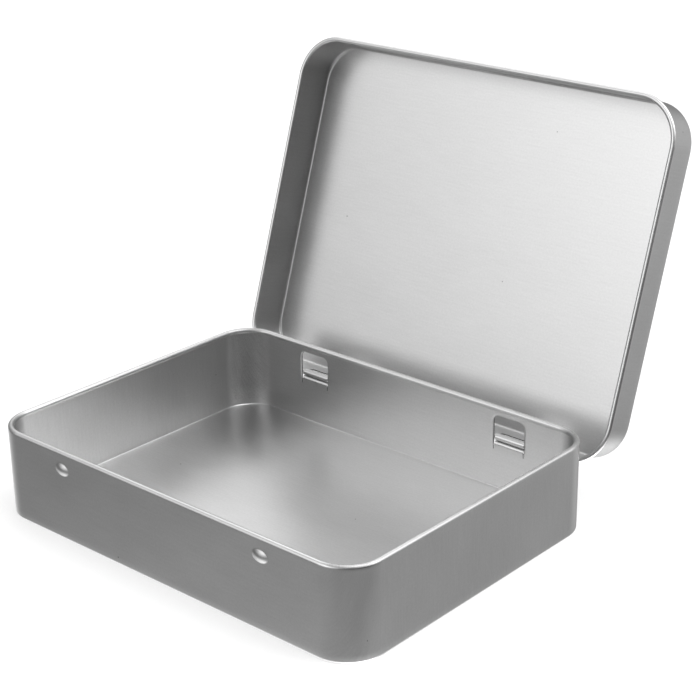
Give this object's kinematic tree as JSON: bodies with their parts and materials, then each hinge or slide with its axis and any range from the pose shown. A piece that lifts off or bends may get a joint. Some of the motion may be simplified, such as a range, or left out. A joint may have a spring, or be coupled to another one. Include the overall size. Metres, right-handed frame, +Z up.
{
  "type": "hinged tin box",
  "caption": "Low rectangular tin box with rounded corners, a rolled rim and a slip-over lid that hinges on two curled knuckles.",
  "frame": {"origin": "middle of the body's footprint, on the surface it stands on", "axes": "+X along the hinge, to the right seen from the front; +Y from the front wall towards the hinge; +Z up"},
  "size_m": [0.1152, 0.121, 0.0954],
  "materials": {
    "tinplate_body": "plain tinplate, satin",
    "tinplate_lid": "plain tinplate, satin"
  },
  "bodies": {
    "body": {"tin_body": "tinplate_body"},
    "lid": {"tin_lid": "tinplate_lid"}
  },
  "joints": [
    {"name": "lid_hinge", "type": "hinge", "parent": "body", "child": "lid", "pos_m": [0, 0.04282, 0.01312], "axis": [1, 0, 0], "range_deg": [0, 108.3]}
  ]
}
